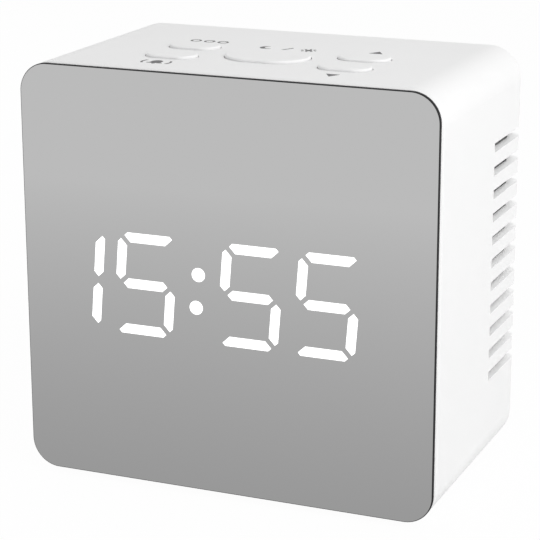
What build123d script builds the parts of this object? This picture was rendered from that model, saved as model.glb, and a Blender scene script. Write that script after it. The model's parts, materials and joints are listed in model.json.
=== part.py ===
from build123d import *
import os

# Mirror alarm clock, in millimetres. +Z is up and the mirror faces -Y.
# The origin lies under the middle of the clock, on the surface that its feet stand on.

# Case
case_width = 80.5
case_height = 78.2
case_depth = 49.5
case_corner_radius = 6.2
wall = 1.6
front_edge_radius = 1.3
rear_edge_radius = 2.4
inner_edge_radius = 1.4
cut_overrun = 1.0

# Clearances
seat_clearance = 0.1
thread_clearance = 0.05
running_clearance = 0.2
board_clearance = 0.4

# Mirror and the black frame that carries it
mirror_reveal = 0.2
mirror_radius = 5.4
mirror_thickness = 0.8
tape_thickness = 0.2
tape_inset = 0.2
tape_band = 1.6
frame_thickness = 2.2

# Seven-segment display
digit_height = 19.2
digit_gap = 2.7
colon_room = 6.1
segment_width = 1.82
segment_corner = 0.55
segment_spacing = 0.95
digit_slant_share = 0.08
colon_dot_diameter = 2.6
colon_dot_spacing = 6.2
display_drop = 0.6
display_margin = 0.9
display_side_room = 11.1
light_box_wall = 0.9
light_box_brow = 2.6
light_box_depth = 6.0
segment_fill_depth = 4.5
led_size = 1.2
led_height = 0.6
shown_segments = ("bc", "acdfg", "acdfg", "acdfg")

# Boards and the screws that hold them
board_thickness = 1.6
board_margin = 1.0
boss_radius = 2.4
board_screw_diameter = 2.0
board_screw_length = 5.0
board_screw_head = 3.6
board_screw_head_height = 1.3
screw_hole_spare = 0.6
display_boss_inset = 5.0

# Pieces soldered on the back of the display board, with their places as shares of its half size
chip_size = 9.0
chip_height = 1.6
chip_place_shares = (0.05, 0.45)
crystal_length = 8.0
crystal_diameter = 3.0
crystal_place_shares = (0.45, 0.45)
capacitor_diameter = 5.0
capacitor_height = 7.0
capacitor_place_shares = ((0.45, -0.1), (0.68, -0.1))
buzzer_diameter = 12.0
buzzer_height = 8.5
buzzer_port_diameter = 2.0
buzzer_port_depth = 1.5
buzzer_place_shares = (-0.45, -0.25)
sensor_place_shares = (0.85, 0.25)
sensor_lead_diameter = 1.2
sensor_lead_length = 14.0
sensor_bead_diameter = 2.6

# Keys on the top
key_board_gap = 0.9
key_row_pitch = 10.0
key_column_pitch = 33.8
key_length = 9.9
key_width = 6.0
snooze_length = 16.0
snooze_width = 11.6
keypad_x = 0.65
key_rise = 0.55
key_edge_radius = 0.35
key_lip = 1.0
key_lip_thickness = 0.8
key_stem_diameter = 2.6
key_travel = 0.5
switch_size = 6.0
switch_height = 3.5
plunger_diameter = 3.4
plunger_rise = 0.9
plunger_seat = 0.8
key_board_drop = 9.5
key_boss_gap = 0.5

# Vent slots round the two rear corners
vent_count = 11
vent_pitch = 4.4
vent_slot = 1.75
vent_lift = 1.0
vent_side_reach = 17.7
vent_door_gap = 2.3

# Battery bay, cells and their contacts
cell_count = 4
cell_diameter = 10.3
cell_length = 44.5
cell_nub_diameter = 3.6
cell_nub_length = 0.9
cell_edge_radius = 0.4
cell_gap = 0.5
bay_wall = 1.2
contact_thickness = 0.4
contact_width = 8.6
spring_length = 4.6
spring_base_diameter = 7.0
spring_tip_diameter = 4.4
spring_wall = 0.8

# Battery door
door_rise = 1.2
door_thickness = 2.0
door_ledge = 0.8
door_lap = 1.8
door_corner_radius = 2.0
door_pin_diameter = 1.0
door_pin_length = 1.2
tongue_width = 10.0
tongue_reach = 2.0
tongue_thickness = 1.1
scoop_width = 15.0
scoop_height = 4.0
scoop_depth = 1.6
grip_count = 4
grip_pitch = 1.8
grip_width = 0.8
grip_depth = 0.4
grip_length = 16.0
grip_drop = 3.0

# Case screws
case_screw_inset = 7.0
case_screw_diameter = 2.6
case_screw_length = 12.0
case_screw_head = 4.8
case_screw_head_height = 1.7
case_screw_recess = 3.0
case_post_radius = 3.2
case_post_length = 6.0

# Power inlet
inlet_width = 7.5
inlet_height = 2.6
inlet_length = 5.2
inlet_shell = 0.3
inlet_corner_radius = 0.8
inlet_tongue_width = 3.6
inlet_tongue_thickness = 0.6
inlet_tongue_length = 3.4
inlet_back = 0.8
inlet_recess_width = 12.0
inlet_recess_height = 7.2
inlet_recess_depth = 1.2
inlet_recess_radius = 2.0
power_board_width = 20.0
power_board_length = 17.0
power_boss_height = 4.0
power_boss_inset = 3.4

# Wires and the key cable
wire_diameter = 1.3
wire_bend = 2.5
wire_spacing = 3.0
battery_wire_step = 6.0
battery_wire_place_shares = (-0.05, -0.35)
power_wire_inset = 3.0
power_wire_setback = 2.0
cable_width = 9.0
cable_thickness = 0.5
cable_bend = 1.5
cable_inset = 3.0
cable_reach = 5.0

# Feet
foot_diameter = 9.0
foot_thickness = 1.5
foot_pocket = 0.6
foot_inset = 11.0

# Cross cut in every screw head, as shares of the head
cross_length_share = 0.62
cross_width_share = 0.17
cross_depth_share = 0.6

# Depths, from the mirror's face to the rear
mirror_front = -case_depth / 2
mirror_back = mirror_front + mirror_thickness
tape_back = mirror_back + tape_thickness
frame_back = tape_back + frame_thickness
light_box_back = tape_back + light_box_depth
display_board_back = light_box_back + board_thickness
rear = case_depth / 2
rear_wall = door_thickness + door_ledge
rear_inner = rear - rear_wall

# Heights, from the feet to the key tops
bottom = foot_thickness - foot_pocket
floor_inner = bottom + wall
top = bottom + case_height
roof_inner = top - wall
middle = bottom + case_height / 2
display_z = middle - display_drop
lip_bottom = roof_inner - key_lip_thickness
key_board_top = top - key_board_drop
key_board_bottom = key_board_top - board_thickness
switch_top = key_board_top + switch_height
plunger_top = switch_top + plunger_rise
power_board_bottom = floor_inner + power_boss_height
power_board_top = power_board_bottom + board_thickness
inlet_z = power_board_top + inlet_height / 2

# Outlines that follow from the sizes above
cavity_width = case_width - 2 * wall
cavity_height = case_height - 2 * wall
cavity_radius = case_corner_radius - wall
mirror_width = case_width - 2 * mirror_reveal
mirror_height = case_height - 2 * mirror_reveal
frame_width = cavity_width - 2 * seat_clearance
frame_height = cavity_height - 2 * seat_clearance
frame_radius = cavity_radius - seat_clearance
digit_shift = digit_slant_share * digit_height / 2
light_box_width = cavity_width - display_margin - display_side_room
light_box_height = digit_height + 2 * light_box_brow
digit_span = light_box_width - 2 * light_box_wall - 2 * digit_shift
digit_width = (digit_span - 3 * digit_gap - colon_room) / 4
digit_pitch = digit_width + digit_gap
display_x = (light_box_width - cavity_width) / 2 + display_margin
display_board_height = light_box_height + 2 * (display_boss_inset + boss_radius + board_margin)
key_x = key_column_pitch / 2
key_front_reach = (key_row_pitch + key_width) / 2 + key_lip + key_boss_gap + boss_radius
key_rear_reach = snooze_width / 2 + key_lip + key_boss_gap + boss_radius
key_board_width = 2 * (key_x + boss_radius + board_margin)
key_board_front = frame_back + key_board_gap
keypad_y = key_board_front + board_margin + boss_radius + key_front_reach
key_board_rear = keypad_y + key_rear_reach + boss_radius + board_margin
cell_pitch = cell_diameter + cell_gap
bay_length = cell_length + spring_length + 2 * contact_thickness
bay_height = cell_count * cell_pitch + cell_gap
bay_depth = cell_diameter + 2 * cell_gap
bay_front = rear - door_thickness - bay_depth
bay_face = bay_front - bay_wall
door_width = bay_length + 2 * door_lap
door_height = bay_height + 2 * door_lap
door_bottom = inlet_z + inlet_recess_height / 2 + door_rise
door_top = door_bottom + door_height
bay_z = door_bottom + door_height / 2
door_hinge_y = rear - door_thickness / 2
door_hinge_z = door_bottom + door_thickness / 2
post_front = rear_inner - case_post_length
screw_seat = rear - case_screw_recess
inlet_mouth = rear - inlet_recess_depth
vent_inner = door_width / 2 + door_pin_length + vent_door_gap
power_board_rear = rear_inner - board_clearance
power_board_front = power_board_rear - power_board_length
foot_top = foot_thickness


def box_between(x0, x1, y0, y1, z0, z1):
    """A box between two opposite corners."""
    centre = Pos((x0 + x1) / 2, (y0 + y1) / 2, (z0 + z1) / 2)
    return centre * Box(x1 - x0, y1 - y0, z1 - z0)


def slab(outline, y_front, y_back, x=0, z=middle):
    """An outline drawn in the front view, made solid between two depths."""
    plane = Plane(origin=(x, y_back, z), x_dir=(1, 0, 0), z_dir=(0, -1, 0))
    return extrude(plane * outline, amount=y_back - y_front)


def rod_back(x, z, diameter, y_front, y_back):
    """A round bar that runs from front to back."""
    return slab(Circle(diameter / 2), y_front, y_back, x, z)


def rod_up(x, y, diameter, z_low, z_high):
    """A round bar that stands upright."""
    return Pos(x, y, z_low) * extrude(Circle(diameter / 2), amount=z_high - z_low)


def stadium(x, y, length, width, z_low, z_high):
    """A bar with round ends in the plan view, made solid between two heights."""
    return Pos(x, y, z_low) * extrude(SlotOverall(length, width), amount=z_high - z_low)


def corners(half_x, half_z, x=0, z=middle):
    """The four places at one distance to each side of a middle."""
    return [(x + side * half_x, z + level * half_z) for side in (-1, 1) for level in (-1, 1)]


def screw(diameter, length, head_diameter, head_height):
    """A screw along Z, with its head's seat at zero, its point down and a cross cut in its head."""
    shank = Pos(0, 0, -length) * extrude(Circle(diameter / 2), amount=length)
    head = extrude(Circle(head_diameter / 2), amount=head_height)
    depth = cross_depth_share * head_height
    arm = cross_length_share * head_diameter
    thick = cross_width_share * head_diameter
    cut_height = depth + cut_overrun
    cut_place = Pos(0, 0, head_height - depth + cut_height / 2)
    return shank + head - cut_place * Box(arm, thick, cut_height) - cut_place * Box(thick, arm, cut_height)


def group(solids):
    """Separate solids kept together in one node."""
    return Compound([solid for shape in solids for solid in shape.solids()])


case_screw_places = corners(case_width / 2 - case_screw_inset, case_height / 2 - case_screw_inset)
display_boss_places = corners(
    light_box_width / 2 - boss_radius - board_margin,
    light_box_height / 2 + display_boss_inset,
    display_x,
    display_z,
)
key_boss_places = [
    (keypad_x - key_x, keypad_y - key_front_reach),
    (keypad_x + key_x, keypad_y - key_front_reach),
    (keypad_x, keypad_y + key_rear_reach),
]
power_boss_places = [
    (side * (power_board_width / 2 - power_boss_inset), power_board_front + power_boss_inset)
    for side in (-1, 1)
]
key_places = {
    "mode": (keypad_x - key_x, keypad_y + key_row_pitch / 2, key_length, key_width),
    "alarm": (keypad_x - key_x, keypad_y - key_row_pitch / 2, key_length, key_width),
    "snooze": (keypad_x, keypad_y, snooze_length, snooze_width),
    "up": (keypad_x + key_x, keypad_y + key_row_pitch / 2, key_length, key_width),
    "down": (keypad_x + key_x, keypad_y - key_row_pitch / 2, key_length, key_width),
}
pair_step = digit_pitch + colon_room
digit_places = [
    display_x + offset
    for offset in (
        -pair_step / 2 - digit_pitch,
        -pair_step / 2,
        pair_step / 2,
        pair_step / 2 + digit_pitch,
    )
]
foot_places = corners(
    case_width / 2 - foot_inset,
    (rear - tape_back) / 2 - foot_inset,
    0,
    (rear + tape_back) / 2,
)
cell_places = [bay_z + (index - (cell_count - 1) / 2) * cell_pitch for index in range(cell_count)]
cell_y = bay_front + bay_depth / 2


def mirror_panel():
    """The half-mirror plate over the whole front."""
    outline = RectangleRounded(mirror_width, mirror_height, mirror_radius)
    return slab(outline, mirror_front, mirror_back)


def mirror_tape():
    """The ring of adhesive tape between the mirror and its frame."""
    outer_inset = 2 * tape_inset
    inner_inset = outer_inset + 2 * tape_band
    outer_radius = frame_radius - tape_inset
    outer = RectangleRounded(frame_width - outer_inset, frame_height - outer_inset, outer_radius)
    inner_radius = outer_radius - tape_band
    inner = RectangleRounded(frame_width - inner_inset, frame_height - inner_inset, inner_radius)
    return slab(outer - inner, mirror_back, tape_back)


def front_frame():
    """The black frame in the mouth of the case, with its display window, board bosses and screw columns."""
    frame = slab(RectangleRounded(frame_width, frame_height, frame_radius), tape_back, frame_back)
    window = Rectangle(light_box_width + 2 * seat_clearance, light_box_height + 2 * seat_clearance)
    frame -= slab(window, mirror_back, frame_back + cut_overrun, display_x, display_z)
    pilot = board_screw_diameter + 2 * thread_clearance
    pilot_depth = board_screw_length - board_thickness + screw_hole_spare
    for x, z in display_boss_places:
        frame += rod_back(x, z, 2 * boss_radius, tape_back, light_box_back)
        frame -= rod_back(x, z, pilot, light_box_back - pilot_depth, light_box_back + cut_overrun)
    column_pilot = case_screw_diameter + 2 * thread_clearance
    screw_reach = case_screw_length - (screw_seat - post_front) + screw_hole_spare
    for x, z in case_screw_places:
        frame += rod_back(x, z, 2 * case_post_radius, tape_back, post_front)
        frame -= rod_back(x, z, column_pilot, post_front - screw_reach, post_front + cut_overrun)
    return frame


def segment_outline(letter):
    """The outline of one of a digit's seven bars about the digit's middle."""
    side = digit_width / 2
    height = digit_height / 2
    gap = segment_spacing / 2 ** 0.5
    half = segment_width / 2
    level_bar = (
        (-side + segment_corner + gap, height - segment_corner),
        (-side + 2 * segment_corner + gap, height),
        (side - 2 * segment_corner - gap, height),
        (side - segment_corner - gap, height - segment_corner),
        (side - segment_width - gap, height - segment_width),
        (-side + segment_width + gap, height - segment_width),
    )
    upright_bar = (
        (-side + segment_corner, height - segment_corner - gap),
        (-side, height - 2 * segment_corner - gap),
        (-side, half + gap),
        (-side + half, gap),
        (-side + segment_width, half + gap),
        (-side + segment_width, height - segment_width - gap),
    )
    middle_bar = (
        (-side + half + gap, 0),
        (-side + segment_width + gap, half),
        (side - segment_width - gap, half),
        (side - half - gap, 0),
        (side - segment_width - gap, -half),
        (-side + segment_width + gap, -half),
    )
    bars = {
        "a": (level_bar, 1, 1),
        "d": (level_bar, 1, -1),
        "g": (middle_bar, 1, 1),
        "f": (upright_bar, 1, 1),
        "b": (upright_bar, -1, 1),
        "e": (upright_bar, 1, -1),
        "c": (upright_bar, -1, -1),
    }
    points, flip_x, flip_z = bars[letter]
    slanted = [(x * flip_x + digit_slant_share * z * flip_z, z * flip_z) for x, z in points]
    return make_face(Polyline(*slanted, close=True))


def colon_places():
    """The middles of the two colon dots, on the digits' slant."""
    half = colon_dot_spacing / 2
    return [(display_x + digit_slant_share * rise, display_z + rise) for rise in (half, -half)]


def segments(lit):
    """The clear fillings of the bars that are lit, or of those that are not."""
    solids = []
    for digit_x, shown in zip(digit_places, shown_segments):
        for letter in "abcdefg":
            if (letter in shown) == lit:
                outline = segment_outline(letter)
                fill_back = tape_back + segment_fill_depth
                solids.append(slab(outline, tape_back, fill_back, digit_x, display_z))
    return group(solids)


def colon_dots():
    """The clear fillings of the two colon dots."""
    return group(
        rod_back(x, z, colon_dot_diameter, tape_back, tape_back + segment_fill_depth)
        for x, z in colon_places()
    )


def display_light_box():
    """The white block behind the mirror with one light well for each bar and dot."""
    outline = Rectangle(light_box_width, light_box_height)
    box = slab(outline, tape_back, light_box_back, display_x, display_z)
    well_front = tape_back - cut_overrun
    well_back = light_box_back + cut_overrun
    for digit_x in digit_places:
        for letter in "abcdefg":
            well = offset(segment_outline(letter), amount=seat_clearance, kind=Kind.INTERSECTION)
            box -= slab(well, well_front, well_back, digit_x, display_z)
    for x, z in colon_places():
        box -= rod_back(x, z, colon_dot_diameter + 2 * seat_clearance, well_front, well_back)
    return box


def display_board():
    """The circuit board behind the light box, with its four screw holes."""
    outline = Rectangle(light_box_width, display_board_height)
    board = slab(outline, light_box_back, display_board_back, display_x, display_z)
    hole = board_screw_diameter + 2 * seat_clearance
    for x, z in display_boss_places:
        board -= rod_back(x, z, hole, light_box_back - cut_overrun, display_board_back + cut_overrun)
    return board


def display_leds():
    """One small lamp on the board behind each bar and dot."""
    places = list(colon_places())
    for digit_x in digit_places:
        for letter in "abcdefg":
            centre = segment_outline(letter).center()
            places.append((digit_x + centre.X, display_z + centre.Y))
    lamp = Rectangle(led_size, led_size)
    return group(slab(lamp, light_box_back - led_height, light_box_back, x, z) for x, z in places)


def on_board(shares):
    """A place on the display board given as shares of its half width and half height."""
    x = display_x + shares[0] * light_box_width / 2
    z = display_z + shares[1] * display_board_height / 2
    return x, z


def control_chip():
    """The clock's control chip on the back of the display board."""
    x, z = on_board(chip_place_shares)
    y_back = display_board_back + chip_height
    return slab(Rectangle(chip_size, chip_size), display_board_back, y_back, x, z)


def clock_crystal():
    """The quartz can that lies on the display board."""
    x, z = on_board(crystal_place_shares)
    y_back = display_board_back + crystal_diameter
    return slab(SlotOverall(crystal_length, crystal_diameter), display_board_back, y_back, x, z)


def capacitors():
    """The two upright capacitors on the display board."""
    y_back = display_board_back + capacitor_height
    return group(
        rod_back(*on_board(shares), capacitor_diameter, display_board_back, y_back)
        for shares in capacitor_place_shares
    )


def buzzer():
    """The round alarm buzzer with its sound port."""
    x, z = on_board(buzzer_place_shares)
    y_back = display_board_back + buzzer_height
    can = rod_back(x, z, buzzer_diameter, display_board_back, y_back)
    return can - rod_back(x, z, buzzer_port_diameter, y_back - buzzer_port_depth, y_back + cut_overrun)


def temperature_sensor():
    """The temperature bead on its lead, reaching back from the board towards the vents."""
    x, z = on_board(sensor_place_shares)
    y_back = display_board_back + sensor_lead_length
    lead = rod_back(x, z, sensor_lead_diameter, display_board_back, y_back)
    return lead + Pos(x, y_back, z) * Sphere(sensor_bead_diameter / 2)


def screws_facing_back(places, seat, diameter, length, head_diameter, head_height):
    """Like screws driven from behind, their heads on one seat."""
    one = screw(diameter, length, head_diameter, head_height)
    return group(Plane(origin=(x, seat, z), z_dir=(0, 1, 0)) * one for x, z in places)


def display_screws():
    """The four screws that hold the display board."""
    return screws_facing_back(
        display_boss_places,
        display_board_back,
        board_screw_diameter,
        board_screw_length,
        board_screw_head,
        board_screw_head_height,
    )


def case_screws():
    """The four screws that draw the frame and the housing together."""
    return screws_facing_back(
        case_screw_places,
        screw_seat,
        case_screw_diameter,
        case_screw_length,
        case_screw_head,
        case_screw_head_height,
    )


def button(name):
    """A key: its rounded cap, the lip that keeps it in the case and the stem over its switch."""
    x, y, length, width = key_places[name]
    cap = stadium(x, y, length, width, lip_bottom, top + key_rise)
    cap = fillet(cap.faces().sort_by(Axis.Z)[-1].edges(), key_edge_radius)
    lip = stadium(x, y, length + 2 * key_lip, width + 2 * key_lip, lip_bottom, roof_inner)
    return cap + lip + rod_up(x, y, key_stem_diameter, plunger_top, lip_bottom)


def plunger(name):
    """The moving stud of the switch under a key."""
    x, y = key_places[name][:2]
    return rod_up(x, y, plunger_diameter, switch_top - plunger_seat, plunger_top)


def key_switches():
    """The five switch bodies on the key board, each bored for its stud."""
    bore = plunger_diameter + 2 * running_clearance
    bore_floor = switch_top - plunger_seat - key_travel - running_clearance
    bodies = []
    for x, y, length, width in key_places.values():
        half = switch_size / 2
        body = box_between(x - half, x + half, y - half, y + half, key_board_top, switch_top)
        bodies.append(body - rod_up(x, y, bore, bore_floor, switch_top + cut_overrun))
    return group(bodies)


def key_board():
    """The circuit board under the keys."""
    half_x = key_board_width / 2
    board = box_between(
        keypad_x - half_x,
        keypad_x + half_x,
        key_board_front,
        key_board_rear,
        key_board_bottom,
        key_board_top,
    )
    hole = board_screw_diameter + 2 * seat_clearance
    for x, y in key_boss_places:
        board -= rod_up(x, y, hole, key_board_bottom - cut_overrun, key_board_top + cut_overrun)
    return board


def key_board_screws():
    """The three screws that hold the key board, driven from below."""
    one = screw(board_screw_diameter, board_screw_length, board_screw_head, board_screw_head_height)
    return group(
        Plane(origin=(x, y, key_board_bottom), z_dir=(0, 0, -1)) * one for x, y in key_boss_places
    )


def key_cable():
    """The flat cable from the key board down to the display board."""
    turn_y = display_board_back + cable_reach
    turn_z = display_z + display_board_height / 2 - cable_inset
    half = cable_thickness / 2
    path = [
        (display_board_back, turn_z - half),
        (turn_y + half, turn_z - half),
        (turn_y + half, key_board_bottom),
        (turn_y - half, key_board_bottom),
        (turn_y - half, turn_z + half),
        (display_board_back, turn_z + half),
    ]
    side_view = Plane(origin=(-cable_width / 2, 0, 0), x_dir=(0, 1, 0), z_dir=(1, 0, 0))
    cable = extrude(side_view * make_face(Polyline(*path, close=True)), amount=cable_width)
    inner = cable.edges().filter_by(Axis.X).sort_by_distance((0, turn_y - half, turn_z + half))[0]
    cable = fillet(inner, cable_bend - half)
    outer = cable.edges().filter_by(Axis.X).sort_by_distance((0, turn_y + half, turn_z - half))[0]
    return fillet(outer, cable_bend + half)


def wire(points, facing):
    """A round wire through the given points, bent with one radius."""
    path = FilletPolyline(*points, radius=wire_bend)
    section = Plane(origin=points[0], z_dir=facing) * Circle(wire_diameter / 2)
    return sweep(section, path=path)


def battery_wire(side):
    """A wire from the battery bay to the display board."""
    x, z = on_board(battery_wire_place_shares)
    x += side * wire_spacing / 2
    turn_y = (bay_face + display_board_back) / 2
    points = [
        (x, bay_face, z),
        (x, turn_y, z),
        (x, turn_y, z - battery_wire_step),
        (x, display_board_back, z - battery_wire_step),
    ]
    return wire(points, (0, -1, 0))


def power_wires():
    """The two wires from the power board up to the display board."""
    y = power_board_front + power_wire_setback
    z = display_z - display_board_height / 2 + power_wire_inset
    solids = []
    for side in (-1, 1):
        x = side * wire_spacing / 2
        points = [(x, y, power_board_top), (x, y, z), (x, display_board_back, z)]
        solids.append(wire(points, (0, 0, 1)))
    return group(solids)


def door_recess(body):
    """The housing with its rear opened for the door, the door's pins and a fingertip."""
    half_x = door_width / 2 + running_clearance
    z_low = door_bottom - running_clearance
    z_high = door_top + running_clearance
    recess = box_between(-half_x, half_x, rear - door_thickness, rear + cut_overrun, z_low, z_high)
    upper = recess.edges().filter_by(Axis.Y).group_by(Axis.Z)[-1]
    body -= fillet(upper, door_corner_radius + running_clearance)
    half_scoop = scoop_width / 2
    scoop_low = door_top - door_lap
    scoop_top = door_top + scoop_height
    scoop_floor = rear - scoop_depth
    body -= box_between(-half_scoop, half_scoop, scoop_floor, rear + cut_overrun, scoop_low, scoop_top)
    pin_end = door_width / 2 + door_pin_length + running_clearance
    hole = Circle(door_pin_diameter / 2 + running_clearance)
    across = Plane(origin=(-pin_end, door_hinge_y, door_hinge_z), z_dir=(1, 0, 0))
    return body - extrude(across * hole, amount=2 * pin_end)


def vent_slots():
    """The level slots that wrap round the two rear corners."""
    slots = []
    for index in range(vent_count):
        z = middle + vent_lift + (index - (vent_count - 1) / 2) * vent_pitch
        for side in (-1, 1):
            inner = side * vent_inner
            outer = side * (case_width / 2 + cut_overrun)
            slots.append(
                box_between(
                    min(inner, outer),
                    max(inner, outer),
                    rear - vent_side_reach,
                    rear + cut_overrun,
                    z - vent_slot / 2,
                    z + vent_slot / 2,
                )
            )
    return slots


def housing():
    """The white case: walls, key openings, vents, battery bay, screw posts and board bosses."""
    shell = slab(RectangleRounded(case_width, case_height, case_corner_radius), tape_back, rear)
    shell = fillet(shell.edges().group_by(Axis.Y)[-1], rear_edge_radius)
    shell = fillet(shell.edges().group_by(Axis.Y)[0], front_edge_radius)
    cavity_outline = RectangleRounded(cavity_width, cavity_height, cavity_radius)
    cavity = slab(cavity_outline, tape_back - cut_overrun, rear_inner)
    cavity = fillet(cavity.edges().group_by(Axis.Y)[-1], inner_edge_radius)
    body = shell - cavity
    for slot in vent_slots():
        body -= slot

    bay_back = rear - door_thickness
    tray = Rectangle(bay_length + 2 * bay_wall, bay_height + 2 * bay_wall)
    body += slab(tray, bay_face, bay_back, 0, bay_z)
    body -= slab(Rectangle(bay_length, bay_height), bay_front, rear + cut_overrun, 0, bay_z)
    body = door_recess(body)

    for x, z in case_screw_places:
        body += rod_back(x, z, 2 * case_post_radius, post_front, bay_back)
        body -= rod_back(x, z, case_screw_diameter + 2 * seat_clearance, post_front - cut_overrun, rear)
        body -= rod_back(x, z, case_screw_head + 2 * running_clearance, screw_seat, rear + cut_overrun)

    pilot = board_screw_diameter + 2 * thread_clearance
    pilot_depth = board_screw_length - board_thickness + screw_hole_spare
    for x, y in key_boss_places:
        body += rod_up(x, y, 2 * boss_radius, key_board_top, roof_inner + wall / 2)
        body -= rod_up(x, y, pilot, key_board_top - cut_overrun, key_board_top + pilot_depth)
    for x, y in power_boss_places:
        body += rod_up(x, y, 2 * boss_radius, floor_inner - wall / 2, power_board_bottom)
        body -= rod_up(x, y, pilot, power_board_bottom - pilot_depth, power_board_bottom + cut_overrun)

    for x, y, length, width in key_places.values():
        length += 2 * running_clearance
        width += 2 * running_clearance
        body -= stadium(x, y, length, width, roof_inner - cut_overrun, top + cut_overrun)

    mouth = Rectangle(inlet_width + 2 * running_clearance, inlet_height + 2 * running_clearance)
    body -= slab(mouth, rear_inner - cut_overrun, rear + cut_overrun, 0, inlet_z)
    recess = RectangleRounded(inlet_recess_width, inlet_recess_height, inlet_recess_radius)
    body -= slab(recess, inlet_mouth, rear + cut_overrun, 0, inlet_z)

    for x, y in foot_places:
        body -= rod_up(x, y, foot_diameter + 2 * seat_clearance, bottom - cut_overrun, foot_top)
    return body


def battery_door():
    """The hinged door: plate, rounded hinge edge, pins, finger tongue and grip grooves."""
    half_x = door_width / 2
    plate = box_between(-half_x, half_x, rear - door_thickness, rear, door_hinge_z, door_top)
    plate = fillet(plate.edges().filter_by(Axis.Y).group_by(Axis.Z)[-1], door_corner_radius)
    across = Plane(origin=(-half_x, door_hinge_y, door_hinge_z), z_dir=(1, 0, 0))
    plate += extrude(across * Circle(door_thickness / 2), amount=door_width)
    pin_reach = half_x + door_pin_length
    pins = Plane(origin=(-pin_reach, door_hinge_y, door_hinge_z), z_dir=(1, 0, 0))
    plate += extrude(pins * Circle(door_pin_diameter / 2), amount=2 * pin_reach)
    half_tongue = tongue_width / 2
    tongue_top = door_top + tongue_reach
    tongue_front = rear - tongue_thickness
    plate += box_between(-half_tongue, half_tongue, tongue_front, rear, door_top - door_lap, tongue_top)
    half_grip = grip_length / 2
    for index in range(grip_count):
        z = door_top - grip_drop - index * grip_pitch
        z_low = z - grip_width / 2
        z_high = z + grip_width / 2
        plate -= box_between(-half_grip, half_grip, rear - grip_depth, rear + cut_overrun, z_low, z_high)
    return plate


def plus_side(index):
    """The side that a cell's nub points to: the cells lie to and fro."""
    return -1 if index % 2 == 0 else 1


def battery_cell(index):
    """One cell with its nub against a contact plate."""
    side = plus_side(index)
    nub_tip = side * (bay_length / 2 - contact_thickness)
    across = Plane(origin=(nub_tip, cell_y, cell_places[index]), z_dir=(-side, 0, 0))
    nub = extrude(across * Circle(cell_nub_diameter / 2), amount=cell_nub_length)
    can_end = across.offset(cell_nub_length) * Circle(cell_diameter / 2)
    can = extrude(can_end, amount=cell_length - cell_nub_length)
    return nub + fillet(can.edges(), cell_edge_radius)


def contact_plates():
    """The metal plates on the bay's end walls, some of them joining two neighbouring cells."""
    plates = []
    joined_cells = {-1: ((0, 0), (1, 2), (3, 3)), 1: ((0, 1), (2, 3))}
    for side, runs in joined_cells.items():
        x_wall = side * bay_length / 2
        x_face = x_wall - side * contact_thickness
        for first, last in runs:
            plates.append(
                box_between(
                    min(x_wall, x_face),
                    max(x_wall, x_face),
                    cell_y - contact_width / 2,
                    cell_y + contact_width / 2,
                    cell_places[first] - contact_width / 2,
                    cell_places[last] + contact_width / 2,
                )
            )
    return group(plates)


def battery_springs():
    """The tapered springs that press on the flat ends of the cells, as plain tapered sleeves."""
    springs = []
    for index, z in enumerate(cell_places):
        side = -plus_side(index)
        base = side * (bay_length / 2 - contact_thickness)
        across = Plane(origin=(base, cell_y, z), z_dir=(-side, 0, 0))
        sleeve = loft([
            across * Circle(spring_base_diameter / 2),
            across.offset(spring_length) * Circle(spring_tip_diameter / 2),
        ])
        bore = loft([
            across * Circle(spring_base_diameter / 2 - spring_wall),
            across.offset(spring_length) * Circle(spring_tip_diameter / 2 - spring_wall),
        ])
        springs.append(sleeve - bore)
    return group(springs)


def power_inlet():
    """The metal power socket: a shell open to the rear with a contact tongue inside."""
    front = inlet_mouth - inlet_length
    outer = RectangleRounded(inlet_width, inlet_height, inlet_corner_radius)
    inner_width = inlet_width - 2 * inlet_shell
    inner_height = inlet_height - 2 * inlet_shell
    inner = RectangleRounded(inner_width, inner_height, inlet_corner_radius - inlet_shell)
    socket = slab(outer, front, inlet_mouth, 0, inlet_z)
    socket -= slab(inner, front + inlet_back, inlet_mouth + cut_overrun, 0, inlet_z)
    tongue = Rectangle(inlet_tongue_width, inlet_tongue_thickness)
    return socket + slab(tongue, front, front + inlet_back + inlet_tongue_length, 0, inlet_z)


def power_board():
    """The small board that carries the power socket."""
    half_x = power_board_width / 2
    board = box_between(
        -half_x, half_x, power_board_front, power_board_rear, power_board_bottom, power_board_top
    )
    hole = board_screw_diameter + 2 * seat_clearance
    for x, y in power_boss_places:
        board -= rod_up(x, y, hole, power_board_bottom - cut_overrun, power_board_top + cut_overrun)
    return board


def power_board_screws():
    """The two screws that hold the power board, driven from above."""
    one = screw(board_screw_diameter, board_screw_length, board_screw_head, board_screw_head_height)
    return group(Pos(x, y, power_board_top) * one for x, y in power_boss_places)


def feet():
    """The four soft pads under the case."""
    return group(rod_up(x, y, foot_diameter, 0, foot_top) for x, y in foot_places)


nodes = {
    "mirror_panel": mirror_panel(),
    "mirror_tape": mirror_tape(),
    "front_frame": front_frame(),
    "display_light_box": display_light_box(),
    "lit_segments": segments(True),
    "unlit_segments": segments(False),
    "colon_dots": colon_dots(),
    "display_board": display_board(),
    "display_leds": display_leds(),
    "control_chip": control_chip(),
    "clock_crystal": clock_crystal(),
    "capacitors": capacitors(),
    "buzzer": buzzer(),
    "temperature_sensor": temperature_sensor(),
    "display_screws": display_screws(),
    "key_switches": key_switches(),
    "key_board": key_board(),
    "key_board_screws": key_board_screws(),
    "key_cable": key_cable(),
    "battery_wire_red": battery_wire(-1),
    "battery_wire_black": battery_wire(1),
    "power_wires": power_wires(),
    "housing": housing(),
    "case_screws": case_screws(),
    "battery_door": battery_door(),
    "battery_contacts": contact_plates(),
    "battery_springs": battery_springs(),
    "power_inlet": power_inlet(),
    "power_board": power_board(),
    "power_board_screws": power_board_screws(),
    "feet": feet(),
}
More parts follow.
